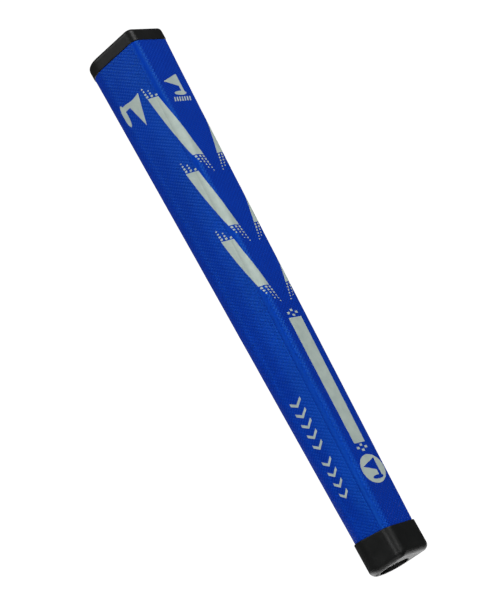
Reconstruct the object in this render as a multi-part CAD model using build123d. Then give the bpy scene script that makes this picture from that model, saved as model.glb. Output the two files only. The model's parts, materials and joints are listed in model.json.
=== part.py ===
from build123d import *
import math
import os

# A putter grip: a foam underlisting with a round shaft bore, wrapped in a felt-backed
# polyurethane cover that is closed by one seam along its back, with a rubber butt cap,
# a rubber tip collar and printed marks. Millimetres. The grip stands on its butt cap:
# +Z runs along the bore from butt to mouth, -Y is the flat thumb face, +Y the round back.
# The origin is the middle of the cap's end face.

# Length, and where each piece starts and ends along it
LENGTH = 273.0
CAP_FLOOR = 4.0
CAP_EDGE = 6.6
PLUG_TOP = 10.0
COLLAR_EDGE = 256.95
# the collar's lower edge slopes down towards the back, by this much for each mm
COLLAR_TILT = -0.101
CORE_TOP = 270.0
# half the side of the blocks that pieces are cut with
BLOCK_REACH = 40.0
LOFT_STATIONS, LOFT_CROWDING = 11, 1.3

# Wrap outline, measured from the bore axis at the butt and at the tip
BUTT_HALF_WIDTH, TIP_HALF_WIDTH, FLARE_POWER = 13.0, 11.4, 3.5
BUTT_FRONT, TIP_FRONT = 24.2, 13.9
BUTT_BACK, TIP_BACK = 12.2, 10.4
BUTT_CORNER, TIP_CORNER = 3.4, 3.2
BACK_ROUNDNESS = 0.955

# Layers
COVER_THICKNESS = 0.5
FELT_THICKNESS = 0.7
WRAP_THICKNESS = COVER_THICKNESS + FELT_THICKNESS
BORE_RADIUS = 7.3
PLUG_RADIUS = 6.0

# Rubber end pieces
CAP_PROUD, CAP_END_FILLET, CAP_RIM_FILLET = 0.3, 2.1, 0.25
COLLAR_PROUD, COLLAR_END_FILLET, COLLAR_RIM_FILLET = 0.7, 3.0, 0.5
VENT_RADIUS, VENT_SINK_RADIUS, VENT_SINK_DEPTH = 0.55, 1.35, 0.8
FRAME_INSET, FRAME_WIDTH, FRAME_CORNER = 4.45, 0.8, 1.7
PAINT_TOP, PAINT_BOTTOM = 0.35, 0.1
BADGE_SIZE, BADGE_FROM_BORE = 10.4, 12.5

# Back seam: the wrap's two edges turn in, are stitched, and are sealed from outside
FLANGE_WIDTH, FLANGE_REACH = 1.0, 2.0
BEAD_WIDTH, BEAD_DEPTH, BEAD_SUNK = 0.9, 0.35, 0.08
CHANNEL_WIDTH, CHANNEL_REACH = 2.6, 2.4
THREAD_RADIUS, STITCH_RADIUS, THREAD_REACH, STITCH_PITCH = 0.15, 0.11, 1.6, 6.0
THREAD_END_GAP = 3.0

# Printed marks; a distance round the outline is measured from the middle of the thumb face
PRINT_THICKNESS, PRINT_GAP = 0.16, 0.04
# a stripe's middle line bows away from the thumb face by this much halfway along
STRIPE_WIDTH, STRIPE_BOW = 5.9, 0.5
# z of each stripe's two ends, then its middle's distance round the outline at those ends
STRIPES = ((34.0, 67.8, 16.5, 8.5), (73.8, 104.8, 16.0, 8.8), (109.6, 136.1, 15.7, 9.4))
DOT_WIDTH, DOT_HEIGHT, DOT_PITCH = 1.15, 0.95, 1.5
COLUMN_PITCH = 2.3
DOTS_TO_BUTT = (1, 3, 4)
DOTS_TO_TIP = (6, 5, 3)
LINE_START, LINE_END = 153.95, 218.1
LINE_START_HALF, LINE_END_HALF = 4.85, 4.15
LINE_DOT_WIDTH, LINE_DOT_HEIGHT, LINE_DOT_SPREAD, LINE_DOT_PITCH = 1.9, 1.1, 3.0, 1.3
DISC_Z, DISC_ACROSS, DISC_ALONG, DISC_FLAG_SIZE = 231.2, 8.5, 7.1, 10.0
FRONT_FLAG_Z, FRONT_FLAG_SIZE = 31.05, 11.0
TICKS_Z, TICKS_HEIGHT, TICKS_SPAN, TICK_COUNT, TICK_LEAN = 37.6, 2.3, 13.2, 7, 0.35
SIDE_FLAG_Z, SIDE_FLAG_AROUND, SIDE_FLAG_SIZE = 33.5, 29.3, 14.2
CHEVRONS_START, CHEVRONS_END, CHEVRONS_BASE = 187.6, 237.6, 25.9
CHEVRON_START_HEIGHT, CHEVRON_END_HEIGHT = 7.5, 5.6
CHEVRON_STROKE, CHEVRON_POINT, CHEVRON_GROUPS = 1.5, 2.3, (5, 4)

os.makedirs("parts", exist_ok=True)


def blend(start, end, z):
    """A value that runs straight from the butt to the tip."""
    return start + (end - start) * z / LENGTH


def half_width(z):
    flare = (BUTT_HALF_WIDTH - TIP_HALF_WIDTH) * (1 - z / LENGTH) ** FLARE_POWER
    return TIP_HALF_WIDTH + flare


# The cap is the widest piece, so centring it puts the bore axis here
BORE_Y = (blend(BUTT_FRONT, TIP_FRONT, CAP_EDGE) - blend(BUTT_BACK, TIP_BACK, CAP_EDGE)) / 2


class Outline:
    """A flat front, two corners, two nearly straight sides and a round back."""

    def __init__(self, width, front, back, corner, back_radius):
        self.corner, self.back_radius = corner, back_radius
        self.front_y = BORE_Y - front
        self.corner_x, self.corner_y = width - corner, self.front_y + corner
        self.back_y = BORE_Y + back - back_radius
        rise = self.corner_y - self.back_y
        apart = math.hypot(self.corner_x, rise)
        # direction of the normal along the straight side that touches both arcs
        self.lean = math.atan2(rise, self.corner_x) + math.acos((back_radius - corner) / apart)
        self.side_length = math.sqrt(apart ** 2 - (back_radius - corner) ** 2)

    def on_corner(self, angle, grow):
        reach = self.corner + grow
        return self.corner_x + reach * math.cos(angle), self.corner_y + reach * math.sin(angle)

    def on_back(self, angle, grow):
        reach = self.back_radius + grow
        return reach * math.cos(angle), self.back_y + reach * math.sin(angle)

    def point(self, around, grow=0.0):
        """The point a distance round the outline from the middle of the front, towards +X."""
        if around <= self.corner_x:
            return around, self.front_y - grow
        turned = (around - self.corner_x) / self.corner - math.pi / 2
        if turned <= self.lean:
            return self.on_corner(turned, grow)
        along = around - self.corner_x - self.corner * (self.lean + math.pi / 2)
        x, y = self.on_corner(self.lean, grow)
        if along <= self.side_length:
            return x - along * math.sin(self.lean), y + along * math.cos(self.lean)
        return self.on_back(self.lean + (along - self.side_length) / self.back_radius, grow)

    def wire(self, z, grow=0.0):
        """The closed outline at height z, moved outward by grow."""
        front = (self.corner_x, self.front_y - grow)
        corner_middle = self.on_corner((self.lean - math.pi / 2) / 2, grow)
        side_front = self.on_corner(self.lean, grow)
        side_back = self.on_back(self.lean, grow)
        back_middle = self.on_back(math.pi / 2, grow)

        def right(point):
            return Vector(point[0], point[1], z)

        def left(point):
            return Vector(-point[0], point[1], z)

        return Wire([
            Edge.make_line(left(front), right(front)),
            Edge.make_three_point_arc(right(front), right(corner_middle), right(side_front)),
            Edge.make_line(right(side_front), right(side_back)),
            Edge.make_three_point_arc(right(side_back), right(back_middle), left(side_back)),
            Edge.make_line(left(side_back), left(side_front)),
            Edge.make_three_point_arc(left(side_front), left(corner_middle), left(front)),
        ])


def wrap_outline(z):
    width = half_width(z)
    return Outline(width, blend(BUTT_FRONT, TIP_FRONT, z), blend(BUTT_BACK, TIP_BACK, z),
                   blend(BUTT_CORNER, TIP_CORNER, z), BACK_ROUNDNESS * width)


def grip_form(grow):
    """The whole tapered form with its surface moved outward by grow."""
    last = LOFT_STATIONS - 1
    heights = [LENGTH * (i / last) ** LOFT_CROWDING for i in range(LOFT_STATIONS)]
    return Solid.make_loft([wrap_outline(z).wire(z, grow) for z in heights])


def slab(bottom, top):
    return Pos(0, 0, (bottom + top) / 2) * Box(2 * BLOCK_REACH, 2 * BLOCK_REACH, top - bottom)


def collar_edge(y):
    """The height of the collar's sloping lower edge."""
    return COLLAR_EDGE + COLLAR_TILT * (y - BORE_Y)


def below_collar(bottom):
    """Everything between a level and the collar's sloping lower edge."""
    side = Polygon((-BLOCK_REACH, bottom), (BLOCK_REACH, bottom), (BLOCK_REACH, collar_edge(BLOCK_REACH)),
                   (-BLOCK_REACH, collar_edge(-BLOCK_REACH)), align=None)
    return extrude(Plane.YZ * side, BLOCK_REACH, both=True)


def straight(outline, bottom, top, grow=0.0):
    """An upright block with a constant outline."""
    return extrude(Face(outline.wire(bottom, grow)), top - bottom, dir=(0, 0, 1))


def round_bar(radius, bottom, top):
    bar = Cylinder(radius, top - bottom, align=(Align.CENTER, Align.CENTER, Align.MIN))
    return Pos(0, BORE_Y, bottom) * bar


def back_strip(width, deep, shallow):
    """A strip along the back seam, between two depths under the wrap's surface."""
    def at(z, depth):
        return BORE_Y + blend(BUTT_BACK, TIP_BACK, z) - depth, z

    side = Polygon(at(0, deep), at(0, shallow), at(LENGTH, shallow), at(LENGTH, deep), align=None)
    return extrude(Plane.YZ * side, width / 2, both=True) & wrap_span


def save(node, *shapes):
    solids = [solid for shape in shapes for solid in shape.solids()]
    whole = solids[0] if len(solids) == 1 else Compound(solids)
    export_step(whole, f"parts/{node}.step")


# Foam, felt and cover
outside = grip_form(0)
felt_outside = grip_form(-COVER_THICKNESS)
core_outside = grip_form(-WRAP_THICKNESS)
wrap_span = below_collar(CAP_EDGE)
flange = back_strip(FLANGE_WIDTH, FLANGE_REACH, BEAD_DEPTH / 2)
bead_groove = back_strip(BEAD_WIDTH, BEAD_DEPTH, -1)
channel = back_strip(CHANNEL_WIDTH, CHANNEL_REACH, 0)

core = core_outside & slab(CAP_FLOOR, CORE_TOP)
core = core - round_bar(BORE_RADIUS, PLUG_TOP, LENGTH) - round_bar(PLUG_RADIUS, 0, PLUG_TOP)
underlisting = core - channel
felt_backing = ((felt_outside - core_outside) & wrap_span) - flange


def seam_thread():
    """Two running threads, one on each side of the turned-in edges, and the stitches between."""
    bottom, top = CAP_EDGE + THREAD_END_GAP, COLLAR_EDGE - THREAD_END_GAP
    offset = FLANGE_WIDTH / 2 + THREAD_RADIUS

    def thread_point(x, z):
        return Vector(x, BORE_Y + blend(BUTT_BACK, TIP_BACK, z) - THREAD_REACH, z)

    def run(radius, start, end):
        return Solid.make_cylinder(radius, (end - start).length, Plane(start, z_dir=end - start))

    count = int((top - bottom) / STITCH_PITCH)
    first = (bottom + top - (count - 1) * STITCH_PITCH) / 2
    heights = [first + i * STITCH_PITCH for i in range(count)]
    stitches = [run(STITCH_RADIUS, thread_point(-offset, z), thread_point(offset, z)) for z in heights]
    left, right = (run(THREAD_RADIUS, thread_point(side * offset, bottom), thread_point(side * offset, top))
                   for side in (-1, 1))
    return left.fuse(right, *stitches), stitches


thread, stitches = seam_thread()
cover_shell = ((outside - felt_outside) & wrap_span) + flange - bead_groove
pu_cover = cover_shell.cut(*stitches)
seam_bead = (grip_form(-BEAD_SUNK) & wrap_span) & bead_groove


# Rubber butt cap, with its painted frame line and badge
def flag(size):
    """A golf flag: a pole, a pennant flying to +X and the lip of the hole, centred."""
    pole_x = -0.32 * size
    pole = Pos(pole_x, 0) * Rectangle(0.19 * size, size)
    top, low, tip = 0.5 * size, -0.14 * size, 0.62 * size
    pennant = Polygon((pole_x, low), (tip, (top + low) / 2), (pole_x, top), align=None)
    lip = Pos(pole_x + 0.22 * size, -0.42 * size) * Ellipse(0.4 * size, 0.1 * size)
    return pole + pennant + lip


cap_outline = wrap_outline(CAP_EDGE)
frame_back = blend(BUTT_BACK, TIP_BACK, CAP_EDGE) + CAP_PROUD - FRAME_INSET
frame_front = blend(BUTT_FRONT, TIP_FRONT, CAP_EDGE) + CAP_PROUD - FRAME_INSET
frame_half = half_width(CAP_EDGE) + CAP_PROUD - FRAME_INSET
frame_outline = Outline(frame_half, frame_front, frame_back, FRAME_CORNER, BACK_ROUNDNESS * frame_half)


def painted(sketch):
    """Paint lying in a shallow recess in the cap's end face, and the recess itself."""
    return (extrude(Pos(0, 0, PAINT_BOTTOM) * sketch, PAINT_TOP - PAINT_BOTTOM, dir=(0, 0, 1)),
            extrude(sketch, PAINT_TOP, dir=(0, 0, 1)))


frame_sketch = Sketch(Face(frame_outline.wire(0)).wrapped) - Face(frame_outline.wire(0, -FRAME_WIDTH))
cap_frame_line, frame_recess = painted(frame_sketch)
# seen from below, the flag stands upright with its top towards the thumb face
badge_sketch = Pos(0, BORE_Y - BADGE_FROM_BORE) * mirror(flag(BADGE_SIZE), Plane.XZ)
cap_badge, badge_recess = painted(badge_sketch)

cap = straight(cap_outline, 0, CAP_EDGE, CAP_PROUD)
cap = fillet(cap.edges().group_by(Axis.Z)[0], CAP_END_FILLET)
cap = fillet(cap.edges().group_by(Axis.Z)[-1], CAP_RIM_FILLET)
cap = cap - (core_outside & slab(CAP_FLOOR, CAP_EDGE + 1)) + round_bar(PLUG_RADIUS, CAP_FLOOR - 1, PLUG_TOP)
vent_sink = Pos(0, BORE_Y, VENT_SINK_DEPTH / 2) * Cone(VENT_SINK_RADIUS, VENT_RADIUS, VENT_SINK_DEPTH)
butt_cap = cap - round_bar(VENT_RADIUS, 0, PLUG_TOP) - vent_sink - frame_recess - badge_recess

# Rubber tip collar
collar_bottom = collar_edge(BLOCK_REACH)
collar = straight(wrap_outline(COLLAR_EDGE), collar_bottom, LENGTH, COLLAR_PROUD)
collar = fillet(collar.edges().group_by(Axis.Z)[-1], COLLAR_END_FILLET) - below_collar(0)
rim = [edge for edge in collar.edges() if abs(edge.center().Z - collar_edge(edge.center().Y)) < 0.01]
collar = fillet(rim, COLLAR_RIM_FILLET)
tip_collar = collar - (core_outside & slab(collar_bottom, CORE_TOP)) - round_bar(BORE_RADIUS, 0, LENGTH)

# Printed marks: thin films of ink lying on the cover
def front_plane(z):
    """The flat thumb face at height z, with x across it and y towards the tip."""
    slope = (BUTT_FRONT - TIP_FRONT) / LENGTH
    return Plane((0, wrap_outline(z).front_y, z), x_dir=(1, 0, 0), z_dir=(0, -1, slope))


def side_plane(around, z):
    """The nearly flat +X side at one spot, with x towards the tip and y towards the thumb face."""
    here = Vector(*wrap_outline(z).point(around), z)
    along = Vector(*wrap_outline(z + 1).point(around), z + 1) - here
    forward = Vector(*wrap_outline(z).point(around - 1), z) - here
    return Plane(here, x_dir=(0, 0, 1), z_dir=along.cross(forward))


def print_on(plane, sketch):
    return extrude(plane.offset(PRINT_GAP) * sketch, PRINT_THICKNESS - PRINT_GAP).solids()


def on_side(solids, side):
    """The +X side's solids, or the same mirrored onto the -X side."""
    return solids if side > 0 else [mirror(solid, Plane.YZ) for solid in solids]


def ribbon(start_z, end_z, middle, width, stations, across):
    """A film of ink along a band, through that many outlines and that many points on each.

    middle(z) is the distance round the outline to the band's middle line.
    """
    wires = []
    for i in range(stations):
        z = start_z + (end_z - start_z) * i / (stations - 1)
        places = [middle(z) + width * (j / (across - 1) - 0.5) for j in range(across)]
        shape = wrap_outline(z)
        outer = [Vector(*shape.point(place, PRINT_THICKNESS), z) for place in places]
        inner = [Vector(*shape.point(place, PRINT_GAP), z) for place in places]
        wires.append(Wire([
            Edge.make_spline(outer), Edge.make_line(outer[-1], inner[-1]),
            Edge.make_spline(inner[::-1]), Edge.make_line(inner[0], outer[0]),
        ]))
    return Solid.make_loft(wires)


def stripe(start_z, end_z, start_middle, end_middle):
    """One slanting stripe, and the three columns of dots that it breaks up into at each end."""
    def column_line(offset):
        def middle(z):
            part = (z - start_z) / (end_z - start_z)
            bow = 4 * STRIPE_BOW * part * (1 - part)
            return start_middle + (end_middle - start_middle) * part + bow + offset
        return middle

    films = [ribbon(start_z, end_z, column_line(0), STRIPE_WIDTH, stations=7, across=9)]
    for end, step, counts in ((start_z, -1, DOTS_TO_BUTT), (end_z, 1, DOTS_TO_TIP)):
        for column, count in enumerate(counts):
            line = column_line((column - 1) * COLUMN_PITCH)
            for row in range(count):
                near = end + step * (DOT_PITCH * (row + 1) - DOT_HEIGHT)
                films.append(ribbon(near, near + step * DOT_HEIGHT, line, DOT_WIDTH, stations=2, across=3))
    return films


def tick_row():
    """Plain leaning ticks, standing on y = 0 and centred in x."""
    pitch, lean = TICKS_SPAN / TICK_COUNT, TICK_LEAN * TICKS_HEIGHT
    ticks = []
    for i in range(TICK_COUNT):
        left = pitch * i - (TICKS_SPAN + lean) / 2
        right = left + pitch / 2
        corners = ((left, 0), (right, 0), (right + lean, TICKS_HEIGHT), (left + lean, TICKS_HEIGHT))
        ticks.append(Polygon(*corners, align=None))
    return ticks


def chevron_row():
    """Plain chevrons in two groups, pointing to +X, standing on y = 0 and centred in x."""
    length = CHEVRONS_END - CHEVRONS_START
    count, gap = sum(CHEVRON_GROUPS), 0.6
    pitch = (length - CHEVRON_STROKE - CHEVRON_POINT) / (count - 1 + gap)
    chevrons = []
    for i in range(count):
        left = pitch * (i + (gap if i >= CHEVRON_GROUPS[0] else 0)) - length / 2
        height = CHEVRON_START_HEIGHT + (CHEVRON_END_HEIGHT - CHEVRON_START_HEIGHT) * i / (count - 1)
        right = left + CHEVRON_STROKE
        corners = ((left, 0), (right, 0), (right + CHEVRON_POINT, height / 2), (right, height),
                   (left, height), (left + CHEVRON_POINT, height / 2))
        chevrons.append(Polygon(*corners, align=None))
    return chevrons


def alignment_line():
    """The straight line on the thumb face, with four dots in a lozenge beyond each end."""
    middle, reach = (LINE_START + LINE_END) / 2, (LINE_END - LINE_START) / 2
    sketches = [Polygon((-LINE_START_HALF, -reach), (LINE_START_HALF, -reach),
                        (LINE_END_HALF, reach), (-LINE_END_HALF, reach), align=None)]
    for end in (-1, 1):
        for row, places in enumerate(((0,), (-1, 1), (0,))):
            y = end * (reach + LINE_DOT_HEIGHT + LINE_DOT_PITCH * row)
            for place in places:
                sketches.append(Pos(place * LINE_DOT_SPREAD, y) * Rectangle(LINE_DOT_WIDTH, LINE_DOT_HEIGHT))
    return [film for sketch in sketches for film in print_on(front_plane(middle), sketch)]


# The thumb face is read with the butt upwards, so its flags are turned over end to end
disc = Ellipse(DISC_ACROSS, DISC_ALONG) - mirror(flag(DISC_FLAG_SIZE), Plane.XZ)
front_flag = mirror(flag(FRONT_FLAG_SIZE), Plane.XZ)
chevrons_plane = side_plane(CHEVRONS_BASE, (CHEVRONS_START + CHEVRONS_END) / 2)

save("underlisting", underlisting)
save("felt_backing", felt_backing)
save("pu_cover", pu_cover)
save("seam_thread", thread)
save("seam_bead", seam_bead)
save("butt_cap", butt_cap)
save("cap_frame_line", cap_frame_line)
save("cap_badge", cap_badge)
save("tip_collar", tip_collar)
save("alignment_line", *alignment_line())
save("tip_disc", *print_on(front_plane(DISC_Z), disc))
save("front_flag", *print_on(front_plane(FRONT_FLAG_Z), front_flag))
save("front_ticks", *[film for tick in tick_row() for film in print_on(front_plane(TICKS_Z), tick)])
for side, name in ((1, "right"), (-1, "left")):
    side_flag = print_on(side_plane(SIDE_FLAG_AROUND, SIDE_FLAG_Z), flag(SIDE_FLAG_SIZE))
    save(f"side_flag_{name}", *on_side(side_flag, side))
    chevrons = [film for chevron in chevron_row() for film in print_on(chevrons_plane, chevron)]
    save(f"side_chevrons_{name}", *on_side(chevrons, side))
    for number, place in enumerate(STRIPES, start=1):
        save(f"stripe_{name}_{number}", *on_side(stripe(*place), side))
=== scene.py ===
import json
import math

import bmesh
import bpy
from mathutils import Matrix, Vector, geometry, noise


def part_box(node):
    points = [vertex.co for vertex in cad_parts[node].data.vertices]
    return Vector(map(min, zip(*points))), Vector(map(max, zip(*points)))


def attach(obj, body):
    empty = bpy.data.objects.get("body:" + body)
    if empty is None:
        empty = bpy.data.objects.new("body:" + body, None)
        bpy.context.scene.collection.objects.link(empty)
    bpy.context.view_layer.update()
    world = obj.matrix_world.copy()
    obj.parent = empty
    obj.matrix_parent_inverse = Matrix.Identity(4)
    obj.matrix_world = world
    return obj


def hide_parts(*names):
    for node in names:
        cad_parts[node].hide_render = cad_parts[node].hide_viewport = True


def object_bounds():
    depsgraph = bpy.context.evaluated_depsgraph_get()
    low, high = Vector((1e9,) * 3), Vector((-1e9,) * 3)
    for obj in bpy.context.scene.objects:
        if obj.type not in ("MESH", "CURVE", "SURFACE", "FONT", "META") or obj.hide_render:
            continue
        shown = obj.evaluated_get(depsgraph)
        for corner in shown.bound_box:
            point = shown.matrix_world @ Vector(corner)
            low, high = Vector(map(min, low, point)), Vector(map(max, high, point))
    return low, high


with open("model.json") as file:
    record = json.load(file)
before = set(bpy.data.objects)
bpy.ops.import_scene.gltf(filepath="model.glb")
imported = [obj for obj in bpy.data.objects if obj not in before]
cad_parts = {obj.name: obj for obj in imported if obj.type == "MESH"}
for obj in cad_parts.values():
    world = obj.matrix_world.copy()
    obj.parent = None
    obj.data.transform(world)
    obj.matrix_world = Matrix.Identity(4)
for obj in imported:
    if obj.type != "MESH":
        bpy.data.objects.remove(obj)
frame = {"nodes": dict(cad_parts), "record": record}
cad_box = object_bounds()

# The grip's form is worked out in millimetres, as in the CAD part, and scaled on the way in.
MM = 0.001
LENGTH = cad_box[1][2] / MM
CAP_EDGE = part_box("pu_cover")[0].z / MM
BORE_Y = frame["record"]["mounts"][0]["pos_m"][1] / MM
COLLAR_EDGE, COLLAR_TILT = 256.95, -0.101
BUTT_HALF_WIDTH, TIP_HALF_WIDTH, FLARE_POWER = 13.0, 11.4, 3.5
BUTT_FRONT, TIP_FRONT = 24.2, 13.9
BUTT_BACK, TIP_BACK = 12.2, 10.4
BUTT_CORNER, TIP_CORNER = 3.4, 3.2
BACK_ROUNDNESS = 0.955
# the foam swells the sides a little between the cap and the collar
SIDE_CROWN, CROWN_RUN, CROWN_FULLNESS = 0.8, 18.0, 1.4
# a faint crease runs along each front corner, where the side begins
CREASE_WIDTH, CREASE_DEPTH = 1.3, 0.1

# The wrap's sheet: its thickness, how its cut edges turn in, and how uneven its surface is
WRAP_THICKNESS = 0.45
EDGE_REACH, EDGE_TURN = 0.7, 0.16
UNEVEN_DEPTH, UNEVEN_SPAN = 0.03, 14
# rows of its mesh along the grip, and columns round each half of it
WRAP_ROWS, EDGE_ROWS = 212, (0, 0.1, 0.25, 0.45, EDGE_REACH)
FRONT_COLUMNS, CORNER_COLUMNS, CREASE_COLUMNS, SIDE_COLUMNS, BACK_COLUMNS = 14, 16, 10, 24, 30
SEAM_REACH, SEAM_COLUMNS = 2.4, (0, 0.15, 0.3, 0.42, 0.55, 0.7, 0.85, 0.98, 1.1, 1.35, 1.8)

# Back seam: the groove, which each stitch pulls deeper, and the bead of sealant in it
GROOVE_DEPTH, GROOVE_FLOOR, GROOVE_LIP, LIP_HEIGHT = 0.32, 0.3, 1.1, 0.05
STITCH_PITCH, STITCH_PULL = 6.0, 0.15
BEAD_HALF_WIDTH, BEAD_THICKNESS, BEAD_LIFT, BEAD_CROWN = 0.5, 0.1, 0.04, 0.07
BEAD_UNEVEN, BEAD_UNEVEN_RATE = 0.02, 0.7
BEAD_END_GAP, BEAD_ROWS, BEAD_COLUMNS = 0.1, 420, (-1, -0.72, -0.36, 0, 0.36, 0.72, 1)

# The pattern pressed into the wrap leaves a smooth strip along each front corner
LOZENGE_ACROSS, LOZENGE_ALONG, LOZENGE_DEPTH = 2.4, 1.75, 0.14
STRIP_AROUND, STRIP_HALF_WIDTH, STRIP_FADE = 12.4, 0.4, 1.0
# the UV map holds the distance round, 0.5 being the front's middle, and the height, as shares of this
UV_SPAN = 300.0

# Printed marks
PRINT_TOP, PRINT_SUNK = 0.06, 0.04
# z of each stripe's two ends, its middle's distance round at those ends, and its width there
STRIPES = ((34.0, 67.8, 16.5, 8.5, 5.4, 6.3), (73.8, 104.8, 16.0, 8.8, 6.2, 5.7),
           (109.6, 136.1, 15.7, 9.4, 6.2, 5.75))
STRIPE_BOW = 0.5
STRIPE_BUTT_LEAN, STRIPE_TIP_LEAN = 0.38, 0.12
DOT_WIDTH, DOT_HEIGHT, DOT_PITCH = 1.15, 0.95, 1.5
COLUMN_PITCH = 2.3
DOTS_TO_BUTT = (1, 3, 4)
DOTS_TO_TIP = (6, 5, 3)
DOT_SHRINK = 0.4
LINE_START, LINE_END = 153.95, 218.1
LINE_START_HALF, LINE_END_HALF = 4.85, 4.15
LINE_DOT_WIDTH, LINE_DOT_HEIGHT, LINE_DOT_SPREAD, LINE_DOT_PITCH = 1.9, 1.1, 3.0, 1.3
DISC_Z, DISC_ACROSS, DISC_ALONG, DISC_FLAG_SIZE = 231.2, 8.5, 7.1, 10.0
FRONT_FLAG_Z, FRONT_FLAG_SIZE = 31.05, 11.0
TICKS_Z, TICKS_HEIGHT, TICKS_SPAN, TICK_COUNT, TICK_LEAN = 37.6, 2.3, 13.2, 7, 0.35
SIDE_FLAG_Z, SIDE_FLAG_AROUND, SIDE_FLAG_SIZE = 33.5, 29.3, 14.2
CHEVRONS_START, CHEVRONS_END, CHEVRONS_BASE = 187.6, 237.6, 25.9
CHEVRON_START_HEIGHT, CHEVRON_END_HEIGHT = 7.5, 5.6
CHEVRON_STROKE, CHEVRON_POINT, CHEVRON_GROUPS, GROUP_GAP = 1.5, 2.3, (5, 4), 0.6

# Studio and camera: metres and degrees, and millimetres for the sensor and the lens
FLOOR_Z, FLOOR_RADIUS, WALL_CURVE, WALL_TOP, FLOOR_STEPS = -1.5, 4, 2, 7, 96
FLOOR_GLOW, WORLD_GLOW = 1.0, 0.06
CENTRE = Vector((0, BORE_Y * MM, LENGTH * MM / 2))
TIP_AIM, BODY_AIM, BUTT_AIM = 0.27, 0.1, 0.02
CAMERA_AZIMUTH, CAMERA_ELEVATION, CAMERA_ROLL = 55.858, 13.651, 151.015
CAMERA_DISTANCE, CAMERA_REACH, SENSOR_WIDTH, LENS = 1.28085, 40, 36, 164.4
SHIFT_X, SHIFT_Y = -0.0010, -0.0045


# ---------------------------------------------------------------- the grip's form

def between(start, end, share):
    """The value a share of the way from start to end."""
    return start + (end - start) * share


def eased(share):
    """A share from 0 to 1 that sets off and arrives gently."""
    share = max(0.0, min(1.0, share))
    return share * share * (3 - 2 * share)


def span(start, end, count):
    """Evenly spaced values from start to end, without the last."""
    return [start + (end - start) * i / count for i in range(count)]


class Outline:
    """The wrap's outline at height z: flat front, two corners, nearly straight sides, round back."""

    def __init__(self, z):
        self.z = z
        part = z / LENGTH
        self.width = between(TIP_HALF_WIDTH, BUTT_HALF_WIDTH, (1 - part) ** FLARE_POWER)
        self.corner = between(BUTT_CORNER, TIP_CORNER, part)
        self.back_radius = BACK_ROUNDNESS * self.width
        self.front_y = BORE_Y - between(BUTT_FRONT, TIP_FRONT, part)
        self.corner_x, self.corner_y = self.width - self.corner, self.front_y + self.corner
        self.back_y = BORE_Y + between(BUTT_BACK, TIP_BACK, part) - self.back_radius
        rise = self.corner_y - self.back_y
        apart = math.hypot(self.corner_x, rise)
        self.lean = math.atan2(rise, self.corner_x) + math.acos((self.back_radius - self.corner) / apart)
        self.side_length = math.sqrt(apart ** 2 - (self.back_radius - self.corner) ** 2)
        self.corner_end = self.corner_x + self.corner * (self.lean + math.pi / 2)
        self.side_end = self.corner_end + self.side_length
        self.half_round = self.side_end + self.back_radius * (math.pi / 2 - self.lean)
        self.swell = eased(min(z - CAP_EDGE, COLLAR_EDGE - z) / CROWN_RUN)

    def at(self, around, proud=0.0):
        """The point a distance round from the middle of the front, minus being towards -X."""
        side = -1 if around < 0 else 1
        around = abs(around)
        if around <= self.corner_x:
            x, y = around, self.front_y - proud
        elif around <= self.side_end:
            turned = min((around - self.corner_x) / self.corner - math.pi / 2, self.lean)
            along = max(around - self.corner_end, 0)
            proud += self.swell * self.side_form(along)
            x = self.corner_x + (self.corner + proud) * math.cos(turned) - along * math.sin(self.lean)
            y = self.corner_y + (self.corner + proud) * math.sin(turned) + along * math.cos(self.lean)
        else:
            turned = self.lean + (around - self.side_end) / self.back_radius
            x = (self.back_radius + proud) * math.cos(turned)
            y = self.back_y + (self.back_radius + proud) * math.sin(turned)
        return Vector((side * x, y, self.z)) * MM

    def side_form(self, along):
        """How far the side swells out at a distance from the front corner, less its crease."""
        crown = SIDE_CROWN * max(0.0, math.sin(math.pi * along / self.side_length)) ** CROWN_FULLNESS
        if along < CREASE_WIDTH:
            crown -= CREASE_DEPTH * math.sin(math.pi * along / CREASE_WIDTH) ** 2
        return crown

    def around_at(self, y):
        """The distance round to the place on the +X side with this y."""
        side_start = self.corner_y + self.corner * math.sin(self.lean)
        around = self.corner_end + (y - side_start) / math.cos(self.lean)
        if around <= self.side_end:
            return around
        turned = math.asin(min((y - self.back_y) / self.back_radius, 1))
        return self.side_end + (turned - self.lean) * self.back_radius


# ---------------------------------------------------------------- building a mesh

def grid_faces(rows, columns):
    """The four-cornered faces over rows and columns of points."""
    faces = []
    for row in range(rows - 1):
        for column in range(columns - 1):
            low = row * columns + column
            faces.append((low, low + 1, low + 1 + columns, low + columns))
    return faces


def new_piece(name, points, faces, smooth=True):
    mesh = bpy.data.meshes.new(name)
    mesh.from_pydata(points, [], faces)
    mesh.validate()
    mesh.polygons.foreach_set("use_smooth", [smooth] * len(mesh.polygons))
    piece = bpy.data.objects.new(name, mesh)
    bpy.context.scene.collection.objects.link(piece)
    return piece


def wrap_spot(around, z):
    """A place on the wrap in its UV map."""
    return (around + UV_SPAN / 2) / UV_SPAN, z / UV_SPAN


def add_map(piece, spots):
    layer = piece.data.uv_layers.new(name="wrap")
    for loop in piece.data.loops:
        layer.data[loop.index].uv = spots[loop.vertex_index]


def thicken(piece, thickness):
    """Gives a sheet its inner skin and closes its edges."""
    thick = piece.modifiers.new("thickness", "SOLIDIFY")
    thick.thickness = thickness * MM
    thick.offset = -1
    bpy.context.view_layer.objects.active = piece
    with bpy.context.temp_override(object=piece, active_object=piece):
        bpy.ops.object.modifier_apply(modifier=thick.name)


def finish_piece(piece, node, material):
    piece.data.materials.append(material)
    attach(piece, "root")
    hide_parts(node)


def coat_node(node, material):
    """Gives a CAD node that stays its finished material."""
    data = frame["nodes"][node].data
    if not data.materials:
        data.materials.append(material)
    for index in range(len(data.materials)):
        data.materials[index] = material


# ---------------------------------------------------------------- materials

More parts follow.
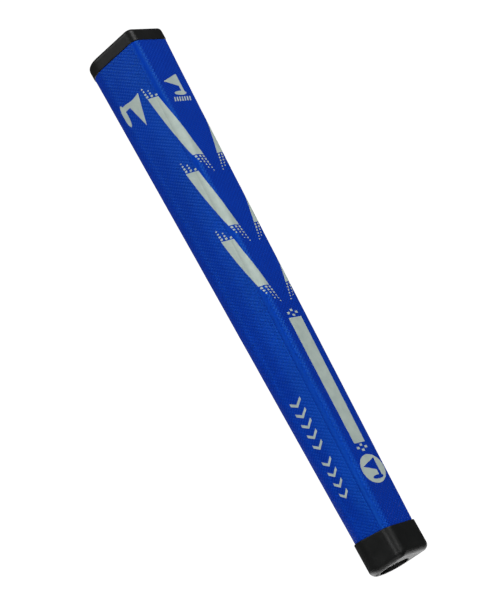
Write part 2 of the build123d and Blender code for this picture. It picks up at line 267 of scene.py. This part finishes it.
def node_tool(material):
    """Returns a function that adds a node, sets its values and joins its inputs."""
    tree = material.node_tree

    def add(kind, inputs=None, **settings):
        node = tree.nodes.new(kind)
        for key, value in settings.items():
            setattr(node, key, value)
        for key, value in (inputs or {}).items():
            if isinstance(value, bpy.types.NodeSocket):
                tree.links.new(value, node.inputs[key])
            else:
                node.inputs[key].default_value = value
        return node
    return add


def shader(name, color, roughness, **fixed):
    """A material, its shader and its node tool; fixed names the shader's own sockets."""
    material = bpy.data.materials.new(name)
    material.use_nodes = True
    bsdf = material.node_tree.nodes["Principled BSDF"]
    bsdf.inputs["Base Color"].default_value = (*color, 1)
    bsdf.inputs["Roughness"].default_value = roughness
    for key, value in fixed.items():
        bsdf.inputs[key.replace("_", " ").title().replace("Ior", "IOR")].default_value = value
    return material, bsdf, node_tool(material)


def join(material, output, bsdf, socket):
    material.node_tree.links.new(output, bsdf.inputs[socket])


def reckon(add, operation, *values):
    """One step of arithmetic on numbers and other nodes' outputs."""
    return add("ShaderNodeMath", dict(enumerate(values)), operation=operation).outputs[0]


def rescaled(add, value, low, high, new_low, new_high):
    """A value that goes from new_low to new_high while another goes from low to high."""
    return add("ShaderNodeMapRange", {"Value": value, "From Min": low, "From Max": high,
                                      "To Min": new_low, "To Max": new_high}).outputs[0]


def cloud(add, scale, detail=4.0):
    """A value that drifts over the surface, mostly between 0.3 and 0.7."""
    place = add("ShaderNodeTexCoord")
    return add("ShaderNodeTexNoise", {"Vector": place.outputs["Object"], "Scale": scale,
                                      "Detail": detail}).outputs[0]


def mottled(add, low, high, scale):
    """A value that drifts between low and high over the surface."""
    return rescaled(add, cloud(add, scale, detail=3.0), 0.3, 0.7, low, high)


def mottled_color(add, dark, light, scale, reach=(0.3, 0.7)):
    """A colour that drifts between dark and light over the surface."""
    ramp = add("ShaderNodeValToRGB", {0: cloud(add, scale)})
    for element, position, color in zip(ramp.color_ramp.elements, reach, (dark, light)):
        element.position = position
        element.color = (*color, 1)
    return ramp.outputs[0]


def bumped(add, height, strength, depth):
    """A surface that stands up by depth, in mm, where the height is 1."""
    return add("ShaderNodeBump", {"Strength": strength, "Distance": depth * MM,
                                  "Height": height}).outputs[0]


def map_parts(add):
    """The wrap's UV map as two values: the distance round and the height."""
    uv = add("ShaderNodeUVMap", uv_map="wrap")
    parts = add("ShaderNodeSeparateXYZ", {0: uv.outputs[0]})
    return parts.outputs[0], parts.outputs[1]


def lozenges(add):
    """Height of the fine pattern pressed into the wrap, from 0 to 1."""
    around, height = map_parts(add)
    u = reckon(add, "MULTIPLY", around, UV_SPAN * math.pi / LOZENGE_ACROSS)
    v = reckon(add, "MULTIPLY", height, UV_SPAN * math.pi / LOZENGE_ALONG)
    ridges = []
    for way in ("ADD", "SUBTRACT"):
        wave = reckon(add, "SINE", reckon(add, way, u, v))
        ridges.append(reckon(add, "ABSOLUTE", wave))
    return reckon(add, "MULTIPLY", *ridges)


def off_strips(add):
    """0 on the smooth strip along each front corner, rising to 1 beside it."""
    around, _ = map_parts(add)
    off_middle = reckon(add, "ABSOLUTE", reckon(add, "SUBTRACT", around, 0.5))
    distance = reckon(add, "ABSOLUTE", reckon(add, "SUBTRACT", off_middle, STRIP_AROUND / UV_SPAN))
    fade_start, fade_end = STRIP_HALF_WIDTH / UV_SPAN, (STRIP_HALF_WIDTH + STRIP_FADE) / UV_SPAN
    return rescaled(add, distance, fade_start, fade_end, 0, 1)


def cover_material():
    """Polyurethane with a pressed lozenge pattern; the pattern's tops carry a painted highlight, a little
    paler in the base colour.
    """
    material, bsdf, add = shader("cover", (0.0001, 0.028, 0.41), 0.5, specular_ior_level=0.5,
                                 specular_tint=(0.1, 0.75, 1.0, 1.0))
    height = reckon(add, "MULTIPLY", lozenges(add), off_strips(add))
    join(material, bumped(add, height, strength=1.0, depth=LOZENGE_DEPTH), bsdf, "Normal")
    ground = mottled_color(add, dark=(0.0001, 0.025, 0.38), light=(0.0001, 0.03, 0.43), scale=55)
    # painted highlight: the base colour is lifted towards a paler blue on the pattern's tops, standing in
    # for the light the raised lozenges catch
    tops = rescaled(add, height, low=0.55, high=0.95, new_low=0, new_high=0.3)
    painted_highlight_mix = add("ShaderNodeMix", {"Factor": tops, "A": ground, "B": (0.005, 0.07, 0.6, 1)}, data_type="RGBA")
    join(material, painted_highlight_mix.outputs["Result"], bsdf, "Base Color")
    join(material, mottled(add, low=0.46, high=0.54, scale=160), bsdf, "Roughness")
    return material


def ink_material():
    """Pale ink that lets the wrap's pattern show through a little."""
    material, bsdf, add = shader("ink", (0.5, 0.59, 0.54), 0.5, specular_ior_level=0.25)
    drift = mottled_color(add, dark=(0.45, 0.54, 0.5), light=(0.53, 0.62, 0.57), scale=260)
    join(material, drift, bsdf, "Base Color")
    join(material, bumped(add, lozenges(add), strength=0.25, depth=0.1), bsdf, "Normal")
    return material


def grained(name, dark, light, roughness, grain, strength, depth, **fixed):
    """A material with slightly drifting colour and roughness and a fine grain."""
    material, bsdf, add = shader(name, light, roughness, **fixed)
    join(material, mottled_color(add, dark, light, scale=90, reach=(0.32, 0.68)), bsdf, "Base Color")
    join(material, mottled(add, roughness - 0.05, roughness + 0.06, scale=220), bsdf, "Roughness")
    join(material, bumped(add, cloud(add, grain, detail=5.0), strength, depth), bsdf, "Normal")
    return material


# ---------------------------------------------------------------- the cover and its seam

def seam_depth(distance, z):
    """How far the wrap is pulled in at a distance from the back seam's middle."""
    if distance > GROOVE_LIP:
        return 0.0
    share = max(0.0, (distance - GROOVE_FLOOR) / (GROOVE_LIP - GROOVE_FLOOR))
    pull = 1 - STITCH_PULL + STITCH_PULL * math.cos(2 * math.pi * z / STITCH_PITCH)
    return GROOVE_DEPTH * (1 - eased(share)) * pull - LIP_HEIGHT * math.sin(math.pi * share)


def edge_turn(distance):
    """How far the wrap turns in at a distance from its cut edge at the cap or the collar."""
    if distance > EDGE_REACH:
        return 0.0
    return EDGE_TURN * (1 - math.sqrt(max(0.0, 1 - (1 - distance / EDGE_REACH) ** 2)))


def collar_edge(y):
    """The height of the collar's sloping lower edge at a place with this y."""
    return COLLAR_EDGE + COLLAR_TILT * (y - BORE_Y)


def around_places(shape):
    """Where the cover's columns lie, from the back seam round to the front and back again."""
    crease_end = shape.corner_end + CREASE_WIDTH
    half = span(0, shape.corner_x, FRONT_COLUMNS)
    half += span(shape.corner_x, shape.corner_end, CORNER_COLUMNS)
    half += span(shape.corner_end, crease_end, CREASE_COLUMNS)
    half += span(crease_end, shape.side_end, SIDE_COLUMNS)
    half += span(shape.side_end, shape.half_round - SEAM_REACH, BACK_COLUMNS)
    half += [shape.half_round - distance for distance in reversed(SEAM_COLUMNS)]
    return [-place for place in reversed(half[1:])] + half


def close_seam(piece):
    """Joins the two columns of points that meet at the back seam."""
    built = bmesh.new()
    built.from_mesh(piece.data)
    bmesh.ops.remove_doubles(built, verts=built.verts, dist=1e-7)
    built.to_mesh(piece.data)
    built.free()


def cover():
    """The wrap from the cap to the collar's sloping edge, as rows of points round the grip."""
    length = COLLAR_EDGE - CAP_EDGE
    clear = 2 * EDGE_REACH / length
    shares = [distance / length for distance in EDGE_ROWS] + span(clear, 1 - clear, WRAP_ROWS)
    shares += [1 - distance / length for distance in reversed(EDGE_ROWS)]
    at_collar = Outline(COLLAR_EDGE)
    tops = [collar_edge(at_collar.at(place).y / MM) for place in around_places(at_collar)]
    points, spots = [], []
    for share in shares:
        places = around_places(Outline(between(CAP_EDGE, COLLAR_EDGE, share)))
        for top, place in zip(tops, places):
            z = between(CAP_EDGE, top, share)
            shape = Outline(z)
            inward = seam_depth(shape.half_round - abs(place), z) + edge_turn(min(z - CAP_EDGE, top - z))
            wave = UNEVEN_DEPTH * noise.noise(shape.at(place) / (UNEVEN_SPAN * MM))
            points.append(shape.at(place, wave - inward))
            spots.append(wrap_spot(place, z))
    piece = new_piece("wrap_cover", points, grid_faces(len(shares), len(tops)))
    add_map(piece, spots)
    close_seam(piece)
    thicken(piece, WRAP_THICKNESS)
    return piece


def sealant():
    """The bead that lies in the seam's groove, slightly uneven as it is brushed in."""
    end = collar_edge(BORE_Y + TIP_BACK)
    heights = span(CAP_EDGE + BEAD_END_GAP, end - BEAD_END_GAP, BEAD_ROWS)
    points = []
    for z in heights:
        shape = Outline(z)
        for share in reversed(BEAD_COLUMNS):
            off_seam = shape.half_round - BEAD_HALF_WIDTH * abs(share)
            crown = BEAD_CROWN * (1 - share ** 2)
            uneven = BEAD_UNEVEN * noise.noise(Vector((share, 0, z * BEAD_UNEVEN_RATE)))
            proud = BEAD_LIFT - GROOVE_DEPTH + crown + uneven
            points.append(shape.at(off_seam if share > 0 else -off_seam, proud))
    piece = new_piece("back_seam_sealant", points, grid_faces(len(heights), len(BEAD_COLUMNS)))
    thicken(piece, BEAD_THICKNESS)
    return piece


# ---------------------------------------------------------------- printed marks

class Film:
    """A thin closed film of ink, gathered patch by patch, that follows the cover."""

    def __init__(self, name):
        self.name = name
        self.points, self.spots, self.faces = [], [], []

    def add(self, flat, faces, place):
        """Takes points and faces in the mark's own plane; place(x, y) puts them on the cover."""
        start, count = len(self.points), len(flat)
        placed = [place(*point) for point in flat]
        for proud in (PRINT_TOP, -PRINT_SUNK):
            for shape, around in placed:
                self.points.append(shape.at(around, proud))
                self.spots.append(wrap_spot(around, shape.z))
        a, b, c = (self.points[start + i] for i in faces[0][:3])
        outward = (b - a).cross(c - a).dot(self.points[start] - self.points[start + count]) > 0
        turned = [tuple(face) if outward else tuple(reversed(face)) for face in faces]
        sides = [side for face in turned for side in zip(face, face[1:] + face[:1])]
        known = set(sides)
        for face in turned:
            self.faces.append(tuple(start + i for i in face))
            self.faces.append(tuple(start + count + i for i in reversed(face)))
        for i, j in sides:
            if (j, i) not in known:
                self.faces.append((start + j, start + i, start + count + i, start + count + j))

    def piece(self):
        built = new_piece(self.name, self.points, self.faces, smooth=False)
        add_map(built, self.spots)
        return built


def patch(film, corners, place, rows, columns):
    """A four-cornered patch: corners are butt left, butt right, tip right, tip left."""
    flat = []
    low_left, low_right, high_right, high_left = (Vector(corner) for corner in corners)
    for row in range(rows + 1):
        left = low_left.lerp(high_left, row / rows)
        right = low_right.lerp(high_right, row / rows)
        flat += [tuple(left.lerp(right, column / columns)) for column in range(columns + 1)]
    film.add(flat, grid_faces(rows + 1, columns + 1), place)


def dot(film, x, y, width, height, place):
    """A small upright block of ink, centred at x, y."""
    left, right, low, high = x - width / 2, x + width / 2, y - height / 2, y + height / 2
    patch(film, ((left, low), (right, low), (right, high), (left, high)), place, rows=2, columns=3)


def inside(point, outlines):
    """Whether a point is inside an odd number of the outlines."""
    x, y = point
    odd = False
    for outline in outlines:
        for (x0, y0), (x1, y1) in zip(outline, outline[1:] + outline[:1]):
            if (y0 > y) != (y1 > y) and x < x0 + (y - y0) * (x1 - x0) / (y1 - y0):
                odd = not odd
    return odd


def filled(film, outlines, place, grid=1.0):
    """A flat shape with holes, cut into small triangles so that it can follow the cover."""
    points = [Vector(point) for outline in outlines for point in outline]
    edges, start = [], 0
    for outline in outlines:
        count = len(outline)
        edges += [(start + i, start + (i + 1) % count) for i in range(count)]
        start += count
    xs, ys = [point.x for point in points], [point.y for point in points]
    columns = int((max(xs) - min(xs)) / grid)
    rows = int((max(ys) - min(ys)) / grid)
    for column in range(1, columns + 1):
        for row in range(1, rows + 1):
            spot = (min(xs) + column * grid, min(ys) + row * grid)
            if inside(spot, outlines):
                points.append(Vector(spot))
    flat, _, faces, *_ = geometry.delaunay_2d_cdt(points, edges, [], 0, 1e-6)
    kept = []
    for face in faces:
        middle = sum((flat[i] for i in face), Vector((0, 0))) / len(face)
        if inside(middle, outlines):
            kept.append(face)
    used = sorted({i for face in kept for i in face})
    order = {old: new for new, old in enumerate(used)}
    film.add([tuple(flat[i]) for i in used], [[order[i] for i in face] for face in kept], place)


def flag_outline(size, flip=1, steps=26):
    """A golf flag as one outline: the pole, a pennant flying to +x and the lip of the hole."""
    pole_left, pole_right = -0.415 * size, -0.225 * size
    top, low, tip = 0.5 * size, -0.14 * size, 0.62 * size
    lip_x, lip_y, lip_width, lip_height = -0.1 * size, -0.42 * size, 0.4 * size, 0.1 * size
    on_right = math.acos((pole_right - lip_x) / lip_width)
    on_left = math.acos((pole_left - lip_x) / lip_width)
    joint = low + (pole_right - pole_left) / (tip - pole_left) * (top - low) / 2
    points = [(pole_right, joint), (tip, (top + low) / 2), (pole_left, top)]
    end = on_right + 2 * math.pi
    for angle in span(on_left, end, steps) + [end]:
        points.append((lip_x + lip_width * math.cos(angle), lip_y + lip_height * math.sin(angle)))
    return [(x, flip * y) for x, y in points]


def oval(across, along, steps=72):
    return [(across * math.cos(angle), along * math.sin(angle)) for angle in span(0, 2 * math.pi, steps)]


def on_front(z):
    """Places x across the thumb face and y towards the tip."""
    return lambda x, y: (Outline(z + y), x)


def on_side(around, z, side):
    """Places x towards the tip and y towards the thumb face, level with the bore."""
    level = Outline(z).at(around).y / MM

    def place(x, y):
        shape = Outline(z + x)
        return shape, side * shape.around_at(level - y)
    return place


def ticks():
    """Plain leaning ticks, standing on y = 0 and centred in x."""
    pitch, lean = TICKS_SPAN / TICK_COUNT, TICK_LEAN * TICKS_HEIGHT
    for i in range(TICK_COUNT):
        left = pitch * i - (TICKS_SPAN + lean) / 2
        right = left + pitch / 2
        yield [(left, 0), (right, 0), (right + lean, TICKS_HEIGHT), (left + lean, TICKS_HEIGHT)]


def chevrons():
    """Plain chevrons in two groups, pointing to +x, standing on y = 0 and centred in x."""
    length = CHEVRONS_END - CHEVRONS_START
    count = sum(CHEVRON_GROUPS)
    pitch = (length - CHEVRON_STROKE - CHEVRON_POINT) / (count - 1 + GROUP_GAP)
    for i in range(count):
        gap = GROUP_GAP if i >= CHEVRON_GROUPS[0] else 0
        left = pitch * (i + gap) - length / 2
        right = left + CHEVRON_STROKE
        height = between(CHEVRON_START_HEIGHT, CHEVRON_END_HEIGHT, i / (count - 1))
        yield [(left, 0), (right, 0), (right + CHEVRON_POINT, height / 2), (right, height),
               (left, height), (left + CHEVRON_POINT, height / 2)]


def stripe(name, start_z, end_z, start_middle, end_middle, start_width, end_width, side):
    """One slanting stripe, breaking up at each end into three columns of dots that shrink as they go."""
    film = Film(name)

    def place(across, z):
        part = (z - start_z) / (end_z - start_z)
        bow = 4 * STRIPE_BOW * part * (1 - part)
        return Outline(z), side * (between(start_middle, end_middle, part) + bow + across)

    near, far = start_width / 2, end_width / 2
    near_lean, far_lean = STRIPE_BUTT_LEAN * near, STRIPE_TIP_LEAN * far
    patch(film, ((-near, start_z + near_lean), (near, start_z - near_lean),
                 (far, end_z - far_lean), (-far, end_z + far_lean)), place, rows=40, columns=14)
    for end, step, lean, counts in ((start_z, -1, STRIPE_BUTT_LEAN, DOTS_TO_BUTT),
                                    (end_z, 1, STRIPE_TIP_LEAN, DOTS_TO_TIP)):
        for column, count in enumerate(counts):
            middle = (column - 1) * COLUMN_PITCH
            for row in range(count):
                shrink = 1 - DOT_SHRINK * row / max(count - 1, 1)
                centre = end - lean * middle + step * (DOT_PITCH * (row + 1) - DOT_HEIGHT / 2)
                dot(film, middle, centre, shrink * DOT_WIDTH, shrink * DOT_HEIGHT, place)
    return film.piece()


def alignment_line():
    """The straight line on the thumb face, with four dots beyond each end."""
    film = Film("straight_line")
    middle, reach = (LINE_START + LINE_END) / 2, (LINE_END - LINE_START) / 2
    place = on_front(middle)
    patch(film, ((-LINE_START_HALF, -reach), (LINE_START_HALF, -reach), (LINE_END_HALF, reach),
                 (-LINE_END_HALF, reach)), place, rows=30, columns=6)
    for end in (-1, 1):
        for row, columns in enumerate(((0,), (-1, 1), (0,))):
            y = end * (reach + LINE_DOT_HEIGHT + LINE_DOT_PITCH * row)
            for column in columns:
                dot(film, column * LINE_DOT_SPREAD, y, LINE_DOT_WIDTH, LINE_DOT_HEIGHT, place)
    return film.piece()


def mark(name, shapes, place):
    """A mark made of one or more flat shapes, each a list of outlines."""
    film = Film(name)
    for outlines in shapes:
        filled(film, outlines, place)
    return film.piece()


# ---------------------------------------------------------------- making the pieces

blue = cover_material()
ink = ink_material()
rubber = grained("end_rubber", dark=(0.006, 0.0066, 0.0064), light=(0.009, 0.0096, 0.0094),
                 roughness=0.42, grain=2600, strength=0.25, depth=0.04, specular_ior_level=0.3)
silver = grained("silver_paint", dark=(0.42, 0.45, 0.46), light=(0.56, 0.59, 0.6),
                 roughness=0.38, grain=3200, strength=0.15, depth=0.03, metallic=0.45)
foam = grained("foam", dark=(0.02, 0.02, 0.022), light=(0.045, 0.045, 0.048),
               roughness=0.85, grain=1400, strength=0.8, depth=0.2)
felt = grained("felt", dark=(0.55, 0.55, 0.53), light=(0.7, 0.7, 0.67),
               roughness=0.95, grain=1800, strength=0.9, depth=0.2)
thread = grained("thread", dark=(0.01, 0.03, 0.18), light=(0.02, 0.05, 0.26),
                 roughness=0.7, grain=3000, strength=0.5, depth=0.05)
seal = grained("seam_sealant", dark=(0.002, 0.024, 0.23), light=(0.003, 0.032, 0.29),
               roughness=0.36, grain=900, strength=0.3, depth=0.06,
               specular_ior_level=0.5, specular_tint=(0.15, 0.75, 1.0, 1.0))

finish_piece(cover(), "pu_cover", blue)
finish_piece(sealant(), "seam_bead", seal)
for node, material in (("butt_cap", rubber), ("tip_collar", rubber), ("cap_frame_line", silver),
                       ("cap_badge", silver), ("underlisting", foam), ("felt_backing", felt),
                       ("seam_thread", thread)):
    coat_node(node, material)

disc = [oval(DISC_ACROSS, DISC_ALONG), flag_outline(DISC_FLAG_SIZE, flip=-1)]
front_flag = [flag_outline(FRONT_FLAG_SIZE, flip=-1)]
side_flag = [flag_outline(SIDE_FLAG_SIZE)]
chevrons_middle = (CHEVRONS_START + CHEVRONS_END) / 2
printed = [(alignment_line(), "alignment_line"),
           (mark("round_mark", [disc], on_front(DISC_Z)), "tip_disc"),
           (mark("front_flag_mark", [front_flag], on_front(FRONT_FLAG_Z)), "front_flag"),
           (mark("front_tick_row", [[tick] for tick in ticks()], on_front(TICKS_Z)), "front_ticks")]
for side, word in ((1, "right"), (-1, "left")):
    on_flag = on_side(SIDE_FLAG_AROUND, SIDE_FLAG_Z, side)
    on_row = on_side(CHEVRONS_BASE, chevrons_middle, side)
    row = [[chevron] for chevron in chevrons()]
    printed += [(mark(f"side_flag_mark_{word}", [side_flag], on_flag), f"side_flag_{word}"),
                (mark(f"side_chevron_row_{word}", row, on_row), f"side_chevrons_{word}")]
    printed += [(stripe(f"slant_stripe_{word}_{number}", *sizes, side), f"stripe_{word}_{number}")
                for number, sizes in enumerate(STRIPES, start=1)]
for piece, node in printed:
    finish_piece(piece, node, ink)


# ---------------------------------------------------------------- floor, light and camera

def studio_floor():
    """A pale floor, well below, that curves up into a wall; it shows, but the gloss doesn't catch it."""
    foot = FLOOR_RADIUS + WALL_CURVE
    profile = [(FLOOR_RADIUS, 0)]
    profile += [(FLOOR_RADIUS + WALL_CURVE * math.sin(turn), WALL_CURVE - WALL_CURVE * math.cos(turn))
                for turn in span(0.15, math.pi / 2, 9)]
    profile += [(foot, WALL_CURVE), (foot, WALL_TOP)]
    points, faces = [(0, 0, FLOOR_Z)], []
    for radius, height in profile:
        points += [(radius * math.cos(turn), radius * math.sin(turn), FLOOR_Z + height)
                   for turn in span(0, 2 * math.pi, FLOOR_STEPS)]
    for i in range(FLOOR_STEPS):
        j = (i + 1) % FLOOR_STEPS
        faces.append((0, 1 + i, 1 + j))
        for level in range(len(profile) - 1):
            low = 1 + level * FLOOR_STEPS
            high = low + FLOOR_STEPS
            faces.append((low + i, high + i, high + j, low + j))
    piece = new_piece("studio_floor", points, faces)
    material, bsdf, _ = shader("floor", (0.85, 0.85, 0.85), 1.0, specular_ior_level=0.0,
                               emission_strength=FLOOR_GLOW)
    bsdf.inputs["Emission Color"].default_value = (1, 1, 1, 1)
    piece.data.materials.append(material)
    piece.visible_diffuse = False
    piece.visible_glossy = False
    piece.visible_shadow = False


def world_light():
    world = bpy.data.worlds.new("studio")
    world.use_nodes = True
    background = world.node_tree.nodes["Background"]
    background.inputs[0].default_value = (1, 1, 1, 1)
    background.inputs[1].default_value = WORLD_GLOW
    bpy.context.scene.world = world


def direction(azimuth, elevation):
    """A unit vector from the grip towards a viewer or a lamp."""
    a, e = math.radians(azimuth), math.radians(elevation)
    return Vector((math.sin(a) * math.cos(e), -math.cos(a) * math.cos(e), math.sin(e)))


def softbox(name, azimuth, elevation, distance, size, power, aim_z=CENTRE.z):
    """A square lamp that looks at the grip's axis at the height aim_z."""
    lamp = bpy.data.lights.new(name, "AREA")
    lamp.shape = "SQUARE"
    lamp.size = size
    lamp.energy = power
    holder = bpy.data.objects.new(name, lamp)
    away = direction(azimuth, elevation)
    holder.location = Vector((0, BORE_Y * MM, aim_z)) + away * distance
    holder.rotation_euler = away.to_track_quat("Z", "Y").to_euler()
    holder.visible_camera = False
    bpy.context.scene.collection.objects.link(holder)


def camera():
    """The camera, turned about its own axis so that the grip lies slanting with its cap up."""
    back = direction(CAMERA_AZIMUTH, CAMERA_ELEVATION)
    level = Vector((0, 0, 1)).cross(back).normalized()
    upright = back.cross(level)
    turn = math.radians(CAMERA_ROLL)
    right = math.cos(turn) * level + math.sin(turn) * upright
    up = math.cos(turn) * upright - math.sin(turn) * level
    data = bpy.data.cameras.new("camera")
    data.sensor_width = SENSOR_WIDTH
    data.lens = LENS
    data.shift_x = SHIFT_X
    data.shift_y = SHIFT_Y
    data.clip_end = CAMERA_REACH
    holder = bpy.data.objects.new("camera", data)
    place = Matrix.Translation(CENTRE + back * CAMERA_DISTANCE)
    holder.matrix_world = place @ Matrix((right, up, back)).transposed().to_4x4()
    bpy.context.scene.collection.objects.link(holder)
    bpy.context.scene.camera = holder


studio_floor()
world_light()
softbox("key", azimuth=90, elevation=5, distance=0.8, size=0.35, power=2.4, aim_z=TIP_AIM)
softbox("corner_light", azimuth=30, elevation=5, distance=0.8, size=0.3, power=1.3, aim_z=TIP_AIM)
softbox("front_fill", azimuth=2, elevation=-35, distance=1.7, size=0.9, power=19, aim_z=BODY_AIM)
softbox("side_fill", azimuth=115, elevation=-40, distance=1.2, size=0.6, power=5, aim_z=BUTT_AIM)
softbox("left_fill", azimuth=-105, elevation=20, distance=1.5, size=1.0, power=9)
softbox("back_fill", azimuth=205, elevation=25, distance=1.6, size=1.0, power=9)
softbox("top_fill", azimuth=140, elevation=75, distance=1.6, size=1.0, power=4)
camera()
bpy.context.scene.view_settings.view_transform = "Standard"
